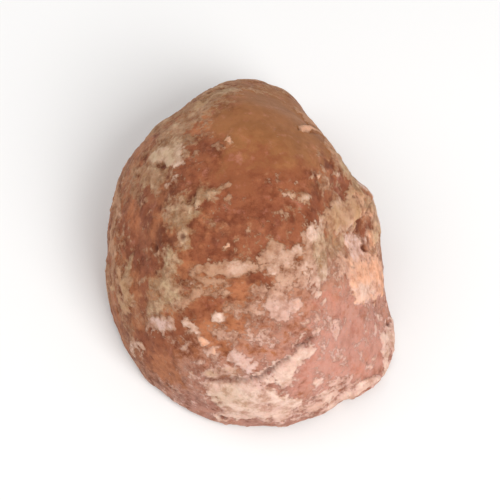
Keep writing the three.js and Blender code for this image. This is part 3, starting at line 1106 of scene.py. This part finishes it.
    def _refined_copy(self) -> bmesh.types.BMesh:
        """Copies the frame's solid with finer facets and no creases between the old ones.

        Returns:
            The copy's mesh, in metres.
        """
        mesh = bmesh.new()
        mesh.from_mesh(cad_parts[self.node].data)
        bmesh.ops.remove_doubles(mesh, verts=mesh.verts, dist=self.merge_gap * MM)
        bmesh.ops.subdivide_edges(mesh, edges=mesh.edges, cuts=self.cuts, use_grid_fill=True)
        bmesh.ops.triangulate(mesh, faces=mesh.faces)
        every_way = {"use_axis_x": True, "use_axis_y": True, "use_axis_z": True}
        for _ in range(self.smoothing):
            bmesh.ops.smooth_vert(mesh, verts=mesh.verts, factor=0.5, **every_way)
        mesh.normal_update()
        return mesh

    def _paint(self, skin: Skin) -> None:
        """Works out every field that the finish and the relief read.

        Args:
            skin: The lump's vertices, which keep the fields.
        """
        fields, marked, halo, bare = self._draw_marks(skin)
        smooth = np.maximum(band(fields["olive"], *self.olive_edge), self.rose_smoothness * fields["rose"])
        ragged = skin.rippled(self.raggedness)
        loose = self.scattered + skin.rippled(self.scatter)
        scattered = loose + self.halo_bloom * halo - self.bare_loss * bare
        fields["pit"], skin.pit_depth, rim = self._pits(skin, smooth)
        fields["bloom"] = np.maximum(marked, scattered) + ragged - self.smooth_loss * smooth * (1 - marked)
        fields["bloom"] += self.rim_bloom * rim
        fields["bloom"] -= self.hollow_loss * fields["hollow"]
        # Pinker and paler towards the near right: partly dust, partly painted warm light.
        far_way = np.array(BEST_SIDE.up - self.pink_slant * BEST_SIDE.right)
        fields["pink"] = band(skin.points @ far_way + skin.rippled(self.pink_wander), *self.pink_edge)
        fields["haze"] = self.pink_haze_and_light * fields["pink"] + self.halo_haze * halo
        fields["haze"] += skin.rippled(self.haze_wander)
        fields["haze"] += self.sage_haze * fields["sage"] - self.bare_haze_loss * bare
        fields["smooth"] = smooth
        open_side = band(skin.normals[:, 2], *self.open_normal)
        fields["open"] = open_side * band(skin.points[:, 2], *self.open_height)
        skin.fields = fields

    def _draw_marks(self, skin: Skin) -> tuple[dict[str, np.ndarray], np.ndarray, np.ndarray, np.ndarray]:
        """Draws every mark on the skin.

        Args:
            skin: The lump's vertices.

        Returns:
            The field of each tone, how thick the marks' crust is, how much of their dust there is, and how
            bare they keep the skin, as numbers for each vertex.
        """
        count = len(skin.points)
        fields = {tone.value: np.zeros(count) for tone in Tone}
        marked, halo, bare = np.zeros(count), np.zeros(count), np.zeros(count)
        for eye, mark in self._all_marks(skin):
            spread = skin.spread(eye, mark)
            fullness = min(mark.strength, 1)
            tinted = fullness * band(spread, *self.tone_edge)
            fields[mark.tone.value] = np.maximum(fields[mark.tone.value], tinted)
            if mark.tone.is_crust:
                marked = np.maximum(marked, mark.strength * band(spread, *self.crust_edge))
                halo = np.maximum(halo, fullness * band(spread, *self.halo_edge))
            elif mark.tone.is_bare:
                bare = np.maximum(bare, tinted)
        return fields, marked, halo, bare

    def _all_marks(self, skin: Skin) -> Iterable[tuple[Viewpoint, Mark]]:
        """Lists the marks given one by one, then the marks on the hidden sides, then the flecks.

        Args:
            skin: The lump's vertices.

        Returns:
            Each mark, with where it is seen from.
        """
        for mark in self.best_side_marks:
            yield BEST_SIDE, mark
        draw = random.Random(self.seed)
        for eye in self.hidden_sides:
            for _ in range(self.marks_a_side):
                across, up = draw.uniform(*self.side_across), draw.uniform(*self.side_up)
                tone, half = draw.choice(self.side_tones), draw.uniform(*self.side_half_lengths)
                tilt, slimness = draw.uniform(0, 180), draw.uniform(*self.side_slimness)
                _, normal = skin.drop(eye, across, up)
                if normal.dot(BEST_SIDE.back) < self.hidden_slope:
                    strength = draw.uniform(*self.side_strengths)
                    yield eye, Mark(tone, across, up, half, half * slimness, tilt, strength)
        for _ in range(self.flecks):
            across, up = draw.uniform(*self.fleck_across), draw.uniform(*self.fleck_up)
            half, tilt = draw.uniform(*self.fleck_half_lengths), draw.uniform(*self.fleck_tilts)
            tone, strength = draw.choice(self.fleck_tones), draw.uniform(*self.fleck_strengths)
            yield BEST_SIDE, Mark(tone, across, up, half, self.fleck_slimness * half, tilt, strength)

    def _pits(self, skin: Skin, smooth: np.ndarray) -> tuple[np.ndarray, np.ndarray, np.ndarray]:
        """Sinks small round pits, one in some of the cells, and paints shade in them.

        Args:
            skin: The lump's vertices.
            smooth: How smooth the skin is at each vertex. Smooth skin has no pits.

        Returns:
            How much each vertex lies in a pit, from 0 to 1, which is painted dark as shade, how deep it is
            pressed, and how much it lies on a pit's rim, from 0 to 1.
        """
        nearest, draws = skin.cells(self.pit_cell, shift=2)
        least, most = self.pit_radii
        radius = least + (most - least) * np.modf(draws * 5)[0]  # the draw's finer digits, as a second draw
        has_pit = (draws > self.pit_above) & (smooth < 0.5)
        inside = band(nearest / radius, *self.pit_side) * has_pit
        rim = band(nearest / radius, *self.pit_rim) * has_pit * (1 - inside)
        return inside, self.pit_steepness * radius * inside, rim

    def _ridges(self, skin: Skin) -> np.ndarray:
        """Lays broken ridges along the near right rim.

        Args:
            skin: The lump's vertices.

        Returns:
            How much each vertex lies on a ridge, from 0 to 1.
        """
        azimuths = np.degrees(np.arctan2(skin.points[:, 1], skin.points[:, 0]))
        off_middle = np.abs(azimuths - self.rim_ridge_middle)
        here = band(off_middle, self.rim_ridge_half_run, 0.5 * self.rim_ridge_half_run)
        height = skin.points[:, 2] + skin.rippled(self.rim_ridge_wander)
        crests = sum(band(np.abs(height - level), *self.rim_ridge_section) for level in self.rim_ridges)
        return here * crests * band(skin.rippled(self.rim_ridge_pieces), *self.rim_ridge_ends)

    def _relief(self, skin: Skin) -> np.ndarray:
        """Works out how far each vertex moves out, and puts the ridges and seams into the fields.

        Args:
            skin: The lump's vertices.

        Returns:
            How far each vertex moves along its normal.
        """
        fields = skin.fields
        relief = (1 - self.smooth_calm * fields["smooth"]) * skin.rippled(self.bumps)
        relief += sum(height * band(fields["bloom"], *edge) for height, edge in self.crust_layers)
        ridges = self._ridges(skin)
        fields["bloom"] += self.ridge_bloom * ridges
        relief += self.rim_ridge_height * ridges - self.hollow_depth * fields["hollow"] - skin.pit_depth
        wander = skin.rippled(self.seam_wander)
        for seam in self.seams:
            run = skin.run(BEST_SIDE, seam) + wander
            line = band(np.abs(run), seam.half_width, self.seam_core)
            lifted = band(-run, 0, seam.half_width) * band(-run, seam.reach, 1)
            relief += seam.lift * lifted - seam.depth * line
            # A groove gets the same painted shade as a pit.
            if seam.depth > 0:
                fields["pit"] = np.maximum(fields["pit"], min(seam.depth, self.seam_darkest) * line)
            else:
                fields["bloom"] += self.ridge_bloom * line
        return relief

    def _crags(self, skin: Skin) -> np.ndarray:
        """Works out the clumps and hollows of the open face.

        Args:
            skin: The lump's vertices.

        Returns:
            How high each vertex stands, from about -1 in a hollow to 1 on a clump.
        """
        nearest, draws = skin.cells(self.clump_cell, shift=5)
        tops = self.clump_least + self.clump_range * draws
        clumps = tops * (self.clump_level - nearest / self.clump_cell)
        return self.clump_height * clumps + skin.rippled(self.crags)

    def _move(self, mesh: bmesh.types.BMesh, skin: Skin) -> None:
        """Moves every vertex out or in by the relief. The lump still rests on its flat border.

        Args:
            mesh: The lump's mesh, in metres.
            skin: Its vertices.
        """
        open_face = skin.fields["open"]
        dish = open_face * band(skin.points[:, 2], *self.dish_edge)
        border = open_face - dish
        crags = self._crags(skin)
        scuffed = np.minimum(crags - self.scuff_below, 0)
        out = self._relief(skin) * (1 - open_face) + self.crag_height * crags * dish
        out += self.scuff_depth * scuffed * border
        skin.fields["high"] = 0.5 + 0.5 * crags
        skin.fields["border"] = border
        moved = skin.points + skin.normals * out[:, None]
        moved[:, 2] = np.maximum(moved[:, 2], 0)
        for vertex, place in zip(mesh.verts, moved.tolist()):
            vertex.co = Vector(place) * MM
        mesh.normal_update()

    def _object(self, mesh: bmesh.types.BMesh, skin: Skin) -> bpy.types.Object:
        """Makes the object and gives its mesh the fields and the finish.

        Args:
            mesh: The lump's mesh, in metres. It is freed.
            skin: Its vertices, with their fields.

        Returns:
            The object.
        """
        data = bpy.data.meshes.new("lump_skin")
        mesh.to_mesh(data)
        mesh.free()
        for name, values in skin.fields.items():
            stored = data.attributes.new(name, "FLOAT", "POINT")
            stored.data.foreach_set("value", values.astype(np.float32))
        data.shade_smooth()
        data.materials.append(self.finish.material())
        piece = bpy.data.objects.new("lump_skin", data)
        bpy.context.scene.collection.objects.link(piece)
        return piece


# ---- The studio ----


@dataclass(frozen=True)
class Lamp:
    """A soft square light that faces the lump."""

    name: str
    way: Viewpoint
    distance: float
    size: float
    watts: float

    def hang(self) -> None:
        """Adds the light to the scene."""
        data = bpy.data.lights.new(self.name, "AREA")
        data.shape = "SQUARE"
        data.size = self.size * MM
        data.energy = self.watts
        lamp = bpy.data.objects.new(self.name, data)
        lamp.location = self.way.back * self.distance * MM
        lamp.rotation_euler = self.way.back.to_track_quat("Z", "Y").to_euler()
        bpy.context.scene.collection.objects.link(lamp)


@dataclass
class Studio:
    """A plain pale floor, soft light and a camera that looks at the lump's best side."""

    floor_half_width: float = 1200
    floor_gap: float = 0.05  # below the lump's border, so that the two faces don't fight
    paper: PaperFinish = field(default_factory=PaperFinish)
    sky_strength: float = 0.5
    lamps: tuple[Lamp, ...] = (
        Lamp("key_light", Viewpoint(38, 48), distance=700, size=400, watts=3.8),
        Lamp("fill_light", Viewpoint(-105, 45), distance=800, size=700, watts=2.0),
    )
    lens: float = 120
    frame_share: float = 0.7  # of the picture's height that the lump fills

    def build(self, lump: bpy.types.Object) -> None:
        """Makes the floor, the lights and the camera round the lump.

        Args:
            lump: The finished lump.
        """
        self._floor()
        self._sky()
        for lamp in self.lamps:
            lamp.hang()
        self._camera(lump)

    def _floor(self) -> None:
        """Lays the floor."""
        mesh = bmesh.new()
        bmesh.ops.create_grid(mesh, x_segments=1, y_segments=1, size=self.floor_half_width * MM)
        bmesh.ops.translate(mesh, verts=mesh.verts, vec=(0, 0, -self.floor_gap * MM))
        data = bpy.data.meshes.new("floor")
        mesh.to_mesh(data)
        mesh.free()
        data.materials.append(self.paper.material())
        floor = bpy.data.objects.new("floor", data)
        bpy.context.scene.collection.objects.link(floor)

    def _sky(self) -> None:
        """Gives the world an even pale light, and shows colours as they are."""
        world = bpy.data.worlds.new("soft_sky")
        world.use_nodes = True
        background = world.node_tree.nodes["Background"]
        background.inputs["Color"].default_value = (1, 1, 1, 1)
        background.inputs["Strength"].default_value = self.sky_strength
        bpy.context.scene.world = world
        bpy.context.scene.view_settings.view_transform = "Standard"

    def _camera(self, lump: bpy.types.Object) -> None:
        """Aims the camera at the middle of the lump's outline.

        Args:
            lump: The finished lump.
        """
        points = np.array([v.co for v in lump.data.vertices])
        heights = points @ np.array(BEST_SIDE.up)
        picture = float(heights.max() - heights.min()) / self.frame_share
        data = bpy.data.cameras.new("camera")
        data.lens = self.lens
        camera = bpy.data.objects.new("camera", data)
        distance = picture * data.lens / data.sensor_width
        camera.location = BEST_SIDE.middle(points) + BEST_SIDE.back * distance
        camera.rotation_euler = BEST_SIDE.back.to_track_quat("Z", "Y").to_euler()
        bpy.context.scene.collection.objects.link(camera)
        bpy.context.scene.camera = camera


def main() -> None:
    """Builds the lump and the studio, and reports each piece."""
    logging.basicConfig(level=logging.INFO, format="%(name)s: %(message)s")
    lump = JaggeryLump().build()
    LOG.info("%s: %d triangles", lump.name, len(lump.data.polygons))
    Studio().build(lump)
    LOG.info("studio: floor, lights and camera")


if __name__ == "__main__":
    main()
